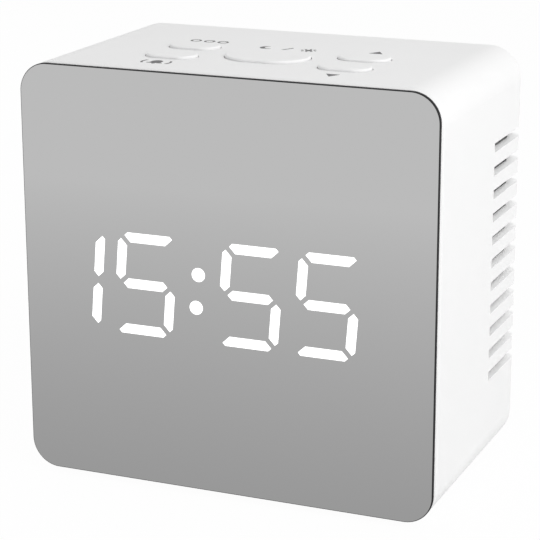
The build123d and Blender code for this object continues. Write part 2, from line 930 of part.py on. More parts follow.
for key_name in key_places:
    nodes[key_name + "_button"] = button(key_name)
    nodes[key_name + "_plunger"] = plunger(key_name)
for cell_index in range(cell_count):
    nodes[f"battery_cell_{cell_index + 1}"] = battery_cell(cell_index)

os.makedirs("parts", exist_ok=True)
for node_name, shape in nodes.items():
    export_step(shape, f"parts/{node_name}.step")
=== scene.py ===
import json
import math

import bmesh
import bpy
from mathutils import Matrix, Vector

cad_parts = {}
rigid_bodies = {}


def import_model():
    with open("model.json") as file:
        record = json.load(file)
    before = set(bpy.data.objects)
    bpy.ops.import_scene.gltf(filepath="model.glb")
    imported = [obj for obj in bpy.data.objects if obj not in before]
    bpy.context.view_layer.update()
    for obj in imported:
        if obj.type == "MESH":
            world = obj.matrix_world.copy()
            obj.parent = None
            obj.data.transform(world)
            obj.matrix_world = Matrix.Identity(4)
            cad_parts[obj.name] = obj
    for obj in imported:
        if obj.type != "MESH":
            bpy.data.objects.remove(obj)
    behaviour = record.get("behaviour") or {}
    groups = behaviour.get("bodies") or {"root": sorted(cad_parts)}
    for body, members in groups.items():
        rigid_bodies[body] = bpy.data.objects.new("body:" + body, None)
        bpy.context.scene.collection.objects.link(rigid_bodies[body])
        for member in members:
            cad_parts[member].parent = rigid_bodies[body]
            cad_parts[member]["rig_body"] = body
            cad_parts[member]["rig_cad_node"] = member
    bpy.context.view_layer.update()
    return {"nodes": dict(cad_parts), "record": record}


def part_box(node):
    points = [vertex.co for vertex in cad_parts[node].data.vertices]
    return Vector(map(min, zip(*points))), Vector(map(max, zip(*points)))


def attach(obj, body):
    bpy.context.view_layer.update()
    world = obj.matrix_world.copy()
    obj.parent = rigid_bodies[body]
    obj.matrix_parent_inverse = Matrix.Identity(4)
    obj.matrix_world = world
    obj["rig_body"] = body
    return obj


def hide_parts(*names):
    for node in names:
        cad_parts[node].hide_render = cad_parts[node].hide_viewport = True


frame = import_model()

bl_info = {
    "name": "Mirror Alarm Clock",
    "version": (1, 0, 0),
    "blender": (4, 5, 0),
    "location": "3D View > Sidebar > Clock",
    "description": "Dresses a mirror alarm clock and sets its studio",
    "category": "Object",
}

MM = 0.001
BLACK = (0, 0, 0, 1)
WHITE = (1, 1, 1, 1)
CELLS = ("battery_cell_1", "battery_cell_2", "battery_cell_3", "battery_cell_4")

# Mirrored and bent rays, which see a white surround as the camera does
BENT_RAYS = ("Is Glossy Ray", "Is Transmission Ray")

# What counts as one place and as parallel, the axis from front to rear, and how cutters and rounds are made
SAME_PLACE = 0.001 * MM
PARALLEL_SHARE = 0.99
DEPTH_AXIS = 1
CUT_OVERRUN = 1 * MM
ROUND_SIDES = 32

# Mirror plate: its rounds, the angle in degrees up to which they shade smooth, and the Y of a normal
# above which a face belongs to the dark edge
CORNER_SEGMENTS = 24
RIM_SEGMENTS = 2
RIM_SMOOTH_ANGLE = 20
EDGE_NORMAL = -0.95

# Signs beside the keys
RING_RADIUS = 1.1 * MM
RING_STEP = 2.8 * MM
ARROW_RADIUS = 1.5 * MM
MOON_AND_SUN_REACH = 4.2 * MM
MOON_RADIUS = 1.3 * MM
MOON_BITE_RADIUS = 1.05 * MM
MOON_BITE_X = 0.6 * MM
MOON_BITE_Y = 0.25 * MM
SLASH_RUN = 2.8 * MM
SLASH_ANGLE = math.radians(62)
SUN_RADIUS = 0.68 * MM
SUN_RAYS = 8
RAY_REACH = 1.25 * MM
RAY_RUN = 0.5 * MM
BELL_RADIUS = 1.05 * MM
BELL_RISE = 0.45 * MM
SKIRT_SIZE = (2.1 * MM, 1.3 * MM)
SKIRT_DROP = 0.2 * MM
BRIM_RUN = 3.0 * MM
BRIM_DROP = 0.95 * MM
CLAPPER_RADIUS = 0.34 * MM
CLAPPER_DROP = 1.4 * MM
SOUND_RADIUS = 2.9 * MM
SOUND_REACH = 2.7 * MM
SOUND_WINDOW = (1.6 * MM, 2.6 * MM)

# Battery springs and the tongue of the power socket
SPRING_TURNS = 5
STEPS_A_TURN = 24
WIRE_SIDES = 10
SPRING_TONE = (0.7, 0.7, 0.7)
TONGUE_ROOT = 1 * MM
TONGUE_BEVEL = 0.15 * MM
TONGUE_SEGMENTS = 2

# Moulded plastic: patches of tone and gloss, and a fine grain
TONE_PATCH = 9 * MM
TONE_DRIFT = 0.04
GLOSS_PATCH = 3 * MM
ROUGHNESS_DRIFT = 0.06
PLAIN_SPECULAR = 0.5
GRAIN = 0.3 * MM
GRAIN_DETAIL = 4
GRAIN_RELIEF = 0.004 * MM

# White plastic of the case and keys, and which of its faces are the level ones inside the vent slots, where
# painted light makes them lighter in place of their shade
CASE_ROUGHNESS = 0.56
CASE_DRIFT = 0.008
CASE_SPECULAR = 0.16
LEVEL_NORMAL = 0.7
SLOT_MARGIN = 9 * MM

# Brushed metal
BRUSH_LINE = 0.2 * MM
BRUSH_DETAIL = 3
BRUSH_DRIFT = 0.08
BRUSH_ROUGHNESS = (0.2, 0.36)
BRUSH_RELIEF = 0.003 * MM
SOCKET_TONE = (0.65, 0.65, 0.66)

# Circuit boards, with the fields between their tracks in millimetres
FIELD_WIDTH = 4.6
FIELD_HEIGHT = 1.3
TRACK_WIDTH = 0.12
TRACK_LIGHTER = 0.9
TRACK_RELIEF = 0.01 * MM
FIELD_TONE = (0.2, 0.2, 0.2, 1)
LACQUER_PATCH = 4 * MM
LACQUER_ROUGHNESS = (0.22, 0.34)

# Battery cells
BAND_START_SHARE = 0.35
PLUS_CAP = 1.3 * MM
MINUS_RIM = 0.5 * MM
WRAP_PATCH = 6 * MM
WRAP_WEAR = 0.25
WRAP_DIRT = (0.02, 0.02, 0.02)
WRAP_ROUGHNESS = (0.24, 0.34)
WRAP_METAL = 0.5

# Mirror, lit digits and floor
MIRROR_PATCH = 40 * MM
MIRROR_DRIFT = 0.006
MIRROR_GLOSS_PATCH = 12 * MM
MIRROR_ROUGHNESS = (0.02, 0.04)
GLOW_PATCH = 4 * MM
GLOW_DRIFT = 0.03
BAR_TONE = (0.8, 0.8, 0.8, 1)
FLOOR_PATCH = 60 * MM
FLOOR_DRIFT = 0.01

# Soft lights and the camera's range, in metres
KEY_LIGHT_PLACE = (0.55, -0.3, 0.5)
KEY_LIGHT_SIZE = 0.6
FILL_LIGHT_PLACE = (-0.5, 0.25, 0.1)
FILL_LIGHT_SIZE = 0.4
LIGHT_AIM = (0, 0, 0.04)
NEAREST_SEEN = 0.01
FARTHEST_SEEN = 100

# Tone and roughness of the plainer materials, by the slot that they fill
PLAIN_MATERIALS = {
    "tape": ((0.03, 0.03, 0.03), 0.8),
    "switch_stud": ((0.75, 0.72, 0.66), 0.5),
    "switch_body": ((0.03, 0.03, 0.035), 0.5),
    "light_box": ((0.8, 0.8, 0.78), 0.5),
    "dark_bar": ((0.5, 0.5, 0.5), 0.4),
    "lamp": ((0.9, 0.88, 0.7), 0.3),
    "capacitor_sleeve": ((0.05, 0.05, 0.08), 0.3),
    "sensor_bead": ((0.1, 0.07, 0.05), 0.3),
    "grey_cable": ((0.5, 0.5, 0.5), 0.5),
    "red_wire": ((0.5, 0.03, 0.03), 0.5),
    "black_wire": ((0.03, 0.03, 0.03), 0.5),
    "foot_pad": ((0.7, 0.7, 0.7), 0.8),
}

# The plane that each circuit board lies in
BOARD_PLANES = {"display_board": "XZ", "key_board": "XY", "power_board": "XY"}


def length(name, description, millimetres):
    """A size setting, kept in metres."""
    return bpy.props.FloatProperty(
        name=name, description=description, default=millimetres * MM, min=0, unit="LENGTH", precision=5
    )


def degrees(name, description, turn):
    """An angle setting, given in degrees."""
    return bpy.props.FloatProperty(
        name=name, description=description, default=math.radians(turn), subtype="ANGLE"
    )


def amount(name, description, default, **settings):
    """A number setting that is never below zero."""
    return bpy.props.FloatProperty(name=name, description=description, default=default, min=0, **settings)


def colour(name, description, red, green, blue):
    """A colour setting."""
    return bpy.props.FloatVectorProperty(
        name=name, description=description, default=(red, green, blue), min=0, max=1, subtype="COLOR"
    )


class ClockSizes(bpy.types.PropertyGroup):
    """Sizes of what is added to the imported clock"""

    mirror_recess: length("Mirror recess", "Depth of the mirror's face behind the front of the clock", 0.06)
    mirror_radius: length("Mirror corner", "Corner radius of the mirror", 5.4)
    mirror_rim: length("Mirror rim", "Width of the small slant round the mirror's face", 0.16)
    light_skin: length("Light skin", "Thickness of the lit bars on the mirror's face", 0.2)
    light_recess: length("Light recess", "Depth of the lit bars behind the front of the clock", 0.02)
    sign_gap: length("Sign gap", "Distance from the edge of a key's lip to the middle of its sign", 2.6)
    sign_line: length("Sign line", "Width of the lines in a sign", 0.4)
    sign_lift: length("Sign lift", "How far the print stands above the case", 0.02)
    sign_root: length("Sign root", "How far the print goes into the case", 0.04)
    spring_wire: length("Spring wire", "Thickness of the wire in the battery springs", 0.5)
    spring_base: length("Spring base", "Outer width of a battery spring at its plate", 7.0)
    spring_tip: length("Spring tip", "Outer width of a battery spring at its cell", 4.4)
    tongue_width: length("Tongue width", "Width of the tongue in the power socket", 5.2)
    tongue_thickness: length("Tongue thickness", "Thickness of the tongue in the power socket", 0.7)
    tongue_setback: length("Tongue setback", "Depth of the tongue behind the socket's mouth", 0.7)


class ClockColours(bpy.types.PropertyGroup):
    """Colours of the clock's finishes"""

    case: colour("Case", "White plastic of the case and the door", 0.92, 0.92, 0.92)
    # Painted light: this lighter tone on the vent slots' level faces stands in for light that their shade
    # keeps out
    slot: colour("Slots", "Lighter plastic inside the vent slots", 1.0, 1.0, 1.0)
    key: colour("Keys", "White plastic of the keys", 0.92, 0.92, 0.92)
    mirror: colour("Mirror", "Tone of the half-mirror", 0.497, 0.497, 0.497)
    edge: colour("Black", "Black of the mirror's edge and frame and the socket's tongue", 0.013, 0.013, 0.014)
    light: colour("Light", "Light of the digits", 1.0, 1.0, 1.0)
    ink: colour("Ink", "Ink of the signs beside the keys", 0.11, 0.11, 0.112)
    board: colour("Board", "Lacquer of the circuit boards", 0.03, 0.16, 0.07)
    steel: colour("Steel", "Plated steel", 0.62, 0.62, 0.63)
    wrap: colour("Cell wrap", "Wrap of the cells", 0.07, 0.13, 0.2)
    band: colour("Cell band", "Band at the plus end of the cells", 0.5, 0.52, 0.54)


class StageSettings(bpy.types.PropertyGroup):
    """The studio round the clock"""

    camera_aim: bpy.props.FloatVectorProperty(
        name="Camera aim",
        description="Point that the camera looks at",
        default=(7.48 * MM, -20.83 * MM, 43.77 * MM),
        subtype="TRANSLATION",
        unit="LENGTH",
    )
    camera_distance: length("Camera distance", "Distance from the camera to its aim", 360.14)
    camera_turn: degrees("Camera turn", "How far the camera stands round to the clock's right", 22.879)
    camera_tilt: degrees("Camera tilt", "How far the camera looks down", 16.23)
    camera_roll: degrees("Camera roll", "Turn of the picture about the line of sight", 0.152)
    camera_lens: amount("Camera lens", "Focal length in millimetres", 134.38)
    floor_size: length("Floor size", "Width of the floor", 8000)
    floor: colour("Floor", "Pale floor", 0.9, 0.9, 0.9)
    floor_lift: amount("Floor lift", "How far the floor is lifted to white for the camera", 0.97, max=1)
    # Painted shade: to mirrored rays the floor falls to this tone at the clock's foot, and turns white over
    # the fall below
    floor_foot_shade: amount("Floor foot", "Tone of the mirrored floor close to the clock", 0.63, max=1)
    floor_fall: length("Floor fall", "Distance over which the mirrored floor turns white", 210)
    front_light: amount("Front light", "Strength of the surrounding light from the front", 0.42)
    rear_light: amount("Rear light", "Strength of the surrounding light from the rear", 0.67)
    fill_power: amount("Fill light", "Power of the soft light from the left rear", 0.7, unit="POWER")
    key_power: amount("Key light", "Power of the soft light from the right front", 3.35, unit="POWER")


def deselect():
    """Leaves edit mode with nothing selected."""
    if bpy.context.mode != "OBJECT":
        bpy.ops.object.mode_set(mode="OBJECT")
    bpy.ops.object.select_all(action="DESELECT")


def take(piece, *more):
    """Selects a piece, and any others that go with it."""
    deselect()
    for each in (piece, *more):
        each.select_set(True)
    bpy.context.view_layer.objects.active = piece


def named(name):
    """The piece just added, under its own name and with its place in its mesh."""
    piece = bpy.context.object
    piece.name = name
    piece.data.name = name
    bpy.ops.object.transform_apply(location=True, rotation=True, scale=True)
    return piece


def block(name, low, high):
    """A box between two opposite corners."""
    deselect()
    low, high = Vector(low), Vector(high)
    bpy.ops.mesh.primitive_cube_add(size=1, location=(low + high) / 2, scale=high - low)
    return named(name)


def rod(name, radius, centre, low, high, sides=ROUND_SIDES, angle=0):
    """An upright round or many-sided bar."""
    deselect()
    bpy.ops.mesh.primitive_cylinder_add(
        vertices=sides,
        radius=radius,
        depth=high - low,
        location=(centre[0], centre[1], (low + high) / 2),
        rotation=(0, 0, angle),
    )
    return named(name)


def bar(name, size, centre, low, high, angle=0):
    """An upright bar with four sides, turned about its middle."""
    deselect()
    bpy.ops.mesh.primitive_cube_add(
        size=1,
        location=(centre[0], centre[1], (low + high) / 2),
        scale=(size[0], size[1], high - low),
        rotation=(0, 0, angle),
    )
    return named(name)


def carve(piece, cutter, operation="DIFFERENCE"):
    """A piece cut by another, grown by it, or kept only where the two meet."""
    take(piece)
    change = piece.modifiers.new("carve", "BOOLEAN")
    change.operation = operation
    change.solver = "EXACT"
    change.object = cutter
    bpy.ops.object.modifier_apply(modifier=change.name)
    bpy.data.objects.remove(cutter)
    return piece


def edit(piece, kind, test):
    """Opens a piece with only the corners or edges selected that pass a test."""
    take(piece)
    bpy.ops.object.mode_set(mode="EDIT")
    bpy.ops.mesh.select_mode(type=kind)
    bpy.ops.mesh.select_all(action="DESELECT")
    mesh = bmesh.from_edit_mesh(piece.data)
    for part in {"VERT": mesh.verts, "EDGE": mesh.edges}[kind]:
        if test(part):
            part.select_set(True)
    mesh.select_flush_mode()
    bmesh.update_edit_mesh(piece.data)


def close(piece):
    """Leaves edit mode."""
    bpy.ops.object.mode_set(mode="OBJECT")
    return piece


def bevel(piece, test, width, segments):
    """A piece with those of its edges rounded that pass a test."""
    edit(piece, "EDGE", test)
    bpy.ops.mesh.bevel(offset=width, segments=segments, affect="EDGES")
    return close(piece)


def runs_along(edge, axis):
    """Whether an edge is parallel to an axis."""
    step = edge.verts[1].co - edge.verts[0].co
    return abs(step[axis]) > PARALLEL_SHARE * step.length


def lies_at(edge, axis, place):
    """Whether both corners of an edge lie at one place on an axis."""
    return all(abs(corner.co[axis] - place) < SAME_PLACE for corner in edge.verts)


def join(name, pieces):
    """Several pieces made one."""
    take(*pieces)
    bpy.ops.object.join()
    return named(name)


def node_copy(name, *nodes):
    """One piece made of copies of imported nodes, with their loose triangles merged."""
    copies = []
    for node in nodes:
        take(frame["nodes"][node])
        bpy.ops.object.duplicate(linked=False)
        bpy.ops.object.parent_clear(type="CLEAR")
        copy = bpy.context.object
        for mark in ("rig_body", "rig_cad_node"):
            del copy[mark]
        copies.append(copy)
    piece = join(name, copies)
    edit(piece, "VERT", lambda corner: True)
    bpy.ops.mesh.customdata_custom_splitnormals_clear()
    bpy.ops.mesh.remove_doubles(threshold=SAME_PLACE)
    return close(piece)


def smooth(piece, limit=35):
    """Rounds the shading across edges that turn by less than a limit in degrees."""
    take(piece)
    bpy.ops.object.shade_smooth_by_angle(angle=math.radians(limit))


def paint(piece, *finishes):
    """Gives a piece its finishes in place of any it has."""
    piece.data.materials.clear()
    for finish in finishes:
        piece.data.materials.append(finish)


def paint_faces(piece, number, test):
    """Gives the faces that pass a test the finish of that number."""
    for face in piece.data.polygons:
        if test(face):
            face.material_index = number


def plus_side(number):
    """The side of a cell's plus end: the cells lie in turn one way and the other."""
    return 1 if number % 2 else -1


def shade(tone, share):
    """A colour made lighter or darker by a share."""
    return tuple(min(1, max(0, part * (1 + share))) for part in tone)


class Wiring:
    """The nodes and links of a material or a world, added one by one."""

    def __init__(self, owner):
        owner.use_nodes = True
        self.nodes = owner.node_tree.nodes
        self.links = owner.node_tree.links

    def add(self, kind, settings=None, **inputs):
        """A node with its settings, and its inputs given as values or as other nodes' outputs."""
        node = self.nodes.new(kind)
        for name, value in (settings or {}).items():
            setattr(node, name, value)
        for name, value in inputs.items():
            self.feed(node.inputs[name.replace("_", " ")], value)
        return node

    def feed(self, socket, value):
        """Sets a socket to a value, or links it to an output."""
        if isinstance(value, bpy.types.NodeSocket):
            self.links.new(value, socket)
        else:
            socket.default_value = value

    def math(self, operation, *values):
        """A sum worked out on one or two values."""
        node = self.add("ShaderNodeMath", {"operation": operation})
        for socket, value in zip(node.inputs, values):
            self.feed(socket, value)
        return node.outputs["Value"]

    def between(self, factor, low, high):
        """A number that goes from low to high with a factor."""
        return self.add("ShaderNodeMapRange", Value=factor, To_Min=low, To_Max=high).outputs["Result"]


class Finish(Wiring):
    """A finish, with its shader and the place on the piece that its patterns follow."""

    def __init__(self, name):
        self.material = bpy.data.materials.new(name)
        super().__init__(self.material)
        self.shader = self.nodes["Principled BSDF"]
        self.place = self.add("ShaderNodeTexCoord").outputs["Object"]

    def set(self, **inputs):
        """Sets the shader's own sockets."""
        for name, value in inputs.items():
            self.feed(self.shader.inputs[name.replace("_", " ")], value)

    def axis(self, name):
        """The place along one axis."""
        return self.add("ShaderNodeSeparateXYZ", Vector=self.place).outputs[name]

    def noise(self, size, detail=2.0, stretch=(1, 1, 1)):
        """Cloudy noise with patches of about that size."""
        spread = self.add("ShaderNodeMapping", Vector=self.place, Scale=stretch).outputs["Vector"]
        return self.add("ShaderNodeTexNoise", Vector=spread, Scale=1 / size, Detail=detail).outputs["Fac"]

    def blend(self, factor, first, second):
        """A colour that goes from one to another with a factor."""
        node = self.add("ShaderNodeMix", {"data_type": "RGBA"})
        sockets = {socket.identifier: socket for socket in node.inputs}
        self.feed(sockets["Factor_Float"], factor)
        for name, value in (("A_Color", first), ("B_Color", second)):
            self.feed(sockets[name], value if isinstance(value, bpy.types.NodeSocket) else (*value, 1))
        return next(socket for socket in node.outputs if socket.identifier == "Result_Color")

    def bump(self, height, depth):
        """Relief on the surface."""
        node = self.add("ShaderNodeBump", Height=height, Distance=depth)
        self.set(Normal=node.outputs["Normal"])

    def drift(self, size, tone, share):
        """A tone that is a share darker or lighter in patches of about that size."""
        return self.blend(self.noise(size), shade(tone, -share), shade(tone, share))

    def mould(self, tone, roughness, specular):
        """Sets the shader to moulded plastic of a tone, with patches of gloss and a fine grain."""
        low, high = roughness - ROUGHNESS_DRIFT, roughness + ROUGHNESS_DRIFT
        self.set(
            Base_Color=tone,
            Roughness=self.between(self.noise(GLOSS_PATCH), low, high),
            Specular_IOR_Level=specular,
        )
        self.bump(self.noise(GRAIN, GRAIN_DETAIL), GRAIN_RELIEF)


def plain_finish(name, tone, roughness, drift=TONE_DRIFT, specular=PLAIN_SPECULAR):
    """Moulded plastic or rubber, print and the like, with a faint drift of tone."""
    finish = Finish(name)
    finish.mould(finish.drift(TONE_PATCH, tone, drift), roughness, specular)
    return finish.material


def case_finish(tone, slot, low, high):
    """The white plastic of the case, lighter on the level faces of the vent slots between two heights:
    painted light in place of their shade.
    """
    finish = Finish("white_case")
    facing = finish.add("ShaderNodeNewGeometry").outputs["Normal"]
    upward = finish.add("ShaderNodeSeparateXYZ", Vector=facing).outputs["Z"]
    level = finish.math("GREATER_THAN", finish.math("ABSOLUTE", upward), LEVEL_NORMAL)
    height = finish.axis("Z")
    above = finish.math("GREATER_THAN", height, low)
    below = finish.math("LESS_THAN", height, high)
    # Painted light: the level faces inside the vent slots take the lighter slot tone in place of their shade
    painted_light_in_slots = finish.math("MULTIPLY", level, finish.math("MULTIPLY", above, below))
    plastic = finish.drift(TONE_PATCH, tone, CASE_DRIFT)
    finish.mould(finish.blend(painted_light_in_slots, plastic, slot), CASE_ROUGHNESS, CASE_SPECULAR)
    return finish.material


def brushed_finish(name, tone, stretch=(1, 1, 1)):
    """Plated metal with fine lines, drawn out along an axis whose stretch is small."""
    finish = Finish(name)
    lines = finish.noise(BRUSH_LINE, BRUSH_DETAIL, stretch)
    finish.set(
        Base_Color=finish.blend(lines, shade(tone, -BRUSH_DRIFT), shade(tone, BRUSH_DRIFT)),
        Roughness=finish.between(lines, *BRUSH_ROUGHNESS),
        Metallic=1.0,
    )
    finish.bump(lines, BRUSH_RELIEF)
    return finish.material


def board_finish(name, tone, plane):
    """A lacquered circuit board, with lighter tracks round the fields of its plane."""
    finish = Finish(name)
    across, along = (finish.axis(axis) for axis in plane)
    tracks = finish.add(
        "ShaderNodeTexBrick",
        Vector=finish.add("ShaderNodeCombineXYZ", X=across, Y=along).outputs["Vector"],
        Scale=1 / MM,
        Mortar_Size=TRACK_WIDTH,
        Brick_Width=FIELD_WIDTH,
        Row_Height=FIELD_HEIGHT,
        Color1=BLACK,
        Color2=FIELD_TONE,
        Mortar=WHITE,
    ).outputs["Color"]
    finish.set(
        Base_Color=finish.blend(tracks, tone, shade(tone, TRACK_LIGHTER)),
        Roughness=finish.between(finish.noise(LACQUER_PATCH), *LACQUER_ROUGHNESS),
    )
    finish.bump(tracks, TRACK_RELIEF)
    return finish.material


def cell_finish(name, colours, middle, side, half):
    """A cell's wrap with a bright band at its plus end, and bare steel at both ends."""
    finish = Finish(name)
    along = finish.math("MULTIPLY", finish.math("SUBTRACT", finish.axis("X"), middle), side)
    banded = finish.math("GREATER_THAN", along, BAND_START_SHARE * half)
    plus_end = finish.math("GREATER_THAN", along, half - PLUS_CAP)
    minus_end = finish.math("LESS_THAN", along, MINUS_RIM - half)
    bare = finish.math("MAXIMUM", plus_end, minus_end)
    cloud = finish.noise(WRAP_PATCH)
    wrap = finish.blend(banded, colours.wrap, colours.band)
    worn = finish.blend(finish.between(cloud, 0, WRAP_WEAR), wrap, WRAP_DIRT)
    finish.set(
        Base_Color=finish.blend(bare, worn, colours.steel),
        Roughness=finish.between(cloud, *WRAP_ROUGHNESS),
        Metallic=finish.between(bare, WRAP_METAL, 1.0),
    )
    return finish.material


def mirror_finish(tone):
    """The half-mirror's face."""
    finish = Finish("half_mirror")
    finish.set(
        Base_Color=finish.drift(MIRROR_PATCH, tone, MIRROR_DRIFT),
        Roughness=finish.between(finish.noise(MIRROR_GLOSS_PATCH), *MIRROR_ROUGHNESS),
        Metallic=1.0,
    )
    return finish.material


def lit_finish(tone):
    """The light of the digits, a little weaker in places."""
    finish = Finish("lit_bars")
    glow = finish.blend(finish.noise(GLOW_PATCH), shade(tone, -GLOW_DRIFT), tone)
    finish.set(Base_Color=BAR_TONE, Emission_Color=glow, Emission_Strength=1.0, Roughness=0.4)
    return finish.material


def white_surround(world, front_light, rear_light):
    """White to the camera and in reflections, and for all else a light that changes from front to rear."""
    surround = Wiring(world)
    path = surround.add("ShaderNodeLightPath").outputs
    seen = path["Is Camera Ray"]
    for kind in BENT_RAYS:
        seen = surround.math("MAXIMUM", seen, path[kind])
    heading = surround.add("ShaderNodeTexCoord").outputs["Generated"]
    rearward = surround.add("ShaderNodeSeparateXYZ", Vector=heading).outputs["Y"]
    ambient = surround.add(
        "ShaderNodeMapRange", Value=rearward, From_Min=-1, To_Min=front_light, To_Max=rear_light
    ).outputs["Result"]
    background = surround.nodes["Background"]
    surround.feed(background.inputs["Color"], WHITE)
    surround.feed(background.inputs["Strength"], surround.between(seen, ambient, 1))


def floor_finish(tone, lift, foot, near, far):
    """A pale floor, nearly white to the camera but for its shadow, and with painted shade by the clock if
    mirrored.
    """
    finish = Finish("studio_floor")
    finish.set(
        Base_Color=finish.drift(FLOOR_PATCH, tone, FLOOR_DRIFT),
        Roughness=0.9,
        Specular_IOR_Level=0.0,
    )
    path = finish.add("ShaderNodeLightPath").outputs
    # Painted shade: mirrored rays see the floor's white dimmed near the clock, down to the foot tone
    away = finish.math("ABSOLUTE", finish.axis("Y"))
    fall = finish.add(
        "ShaderNodeMapRange", Value=away, From_Min=near, From_Max=far, To_Min=foot, To_Max=1
    ).outputs["Result"]
    white = finish.add(
        "ShaderNodeEmission", Color=WHITE, Strength=finish.between(path["Is Glossy Ray"], 1, fall)
    ).outputs["Emission"]
    lifted = finish.math("MULTIPLY", path["Is Camera Ray"], lift)
    for kind in BENT_RAYS:
        lifted = finish.math("MAXIMUM", lifted, path[kind])
    mixed = finish.add("ShaderNodeMixShader")
    for socket, value in zip(mixed.inputs, (lifted, finish.shader.outputs["BSDF"], white)):
        finish.feed(socket, value)
    finish.feed(finish.nodes["Material Output"].inputs["Surface"], mixed.outputs["Shader"])
    return finish.material


class CLOCK_OT_finishes(bpy.types.Operator):
    """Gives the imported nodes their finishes"""

    bl_idname = "clock.finishes"
    bl_label = "Finishes"

    def execute(self, context):
        colours = context.scene.clock_colours
        low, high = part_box("housing")
        finishes = {
            # The case gets painted light on the level faces inside its vent slots
            "white_case": case_finish(colours.case, colours.slot, low.z + SLOT_MARGIN, high.z - SLOT_MARGIN),
            "white_key": plain_finish("white_key", colours.key, CASE_ROUGHNESS, CASE_DRIFT, CASE_SPECULAR),
            "black_frame": plain_finish("black_frame", colours.edge, roughness=0.6, specular=0.2),
            "lit_bar": lit_finish(colours.light),
            "steel": brushed_finish("steel", colours.steel, stretch=(1, 0.2, 1)),
            "spring_steel": brushed_finish("spring_steel", SPRING_TONE, stretch=(1, 1, 0.15)),
            "socket_metal": brushed_finish("socket_metal", SOCKET_TONE, stretch=(0.15, 1, 1)),
        }
        for slot, (tone, roughness) in PLAIN_MATERIALS.items():
            finishes[slot] = plain_finish(slot, tone, roughness)
        for part in frame["record"]["subparts"]:
            if part["material_slot"] in finishes:
                paint(frame["nodes"][part["node"]], finishes[part["material_slot"]])
        for board, plane in BOARD_PLANES.items():
            paint(frame["nodes"][board], board_finish(board, colours.board, plane))
        for number, cell in enumerate(CELLS):
            low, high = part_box(cell)
            middle, half = (low.x + high.x) / 2, (high.x - low.x) / 2
            paint(frame["nodes"][cell], cell_finish(cell, colours, middle, plus_side(number), half))
        return {"FINISHED"}


class CLOCK_OT_mirror(bpy.types.Operator):
    """Makes the half-mirror plate with its dark edge"""

    bl_idname = "clock.mirror"
    bl_label = "Mirror"

    def execute(self, context):
        sizes = context.scene.clock_sizes
        colours = context.scene.clock_colours
        low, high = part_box("mirror_panel")
        low.y += sizes.mirror_recess
        plate = block("mirror_plate", low, high)
        bevel(plate, lambda edge: runs_along(edge, DEPTH_AXIS), sizes.mirror_radius, CORNER_SEGMENTS)
        bevel(plate, lambda edge: lies_at(edge, DEPTH_AXIS, low.y), sizes.mirror_rim, RIM_SEGMENTS)
        smooth(plate, RIM_SMOOTH_ANGLE)
        edge = plain_finish("mirror_edge", colours.edge, roughness=0.5, specular=0.12)
        paint(plate, mirror_finish(colours.mirror), edge)
        paint_faces(plate, number=1, test=lambda face: face.normal.y > EDGE_NORMAL)
        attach(plate, "case")
        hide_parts("mirror_panel")
        return {"FINISHED"}


class CLOCK_OT_digits(bpy.types.Operator):
    """Makes the lit bars and dots that shine through the mirror's face"""

    bl_idname = "clock.digits"
    bl_label = "Lit digits"

    def execute(self, context):
        sizes = context.scene.clock_sizes
        bars = node_copy("lit_time", "lit_segments", "colon_dots")
        low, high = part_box("lit_segments")
        share = sizes.light_skin / (high.y - low.y)
        bars.scale.y = share
        bars.location.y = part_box("mirror_panel")[0].y + sizes.light_recess - low.y * share
        take(bars)
        bpy.ops.object.transform_apply(location=True, rotation=True, scale=True)
        paint(bars, lit_finish(context.scene.clock_colours.light))
        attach(bars, "case")
        return {"FINISHED"}


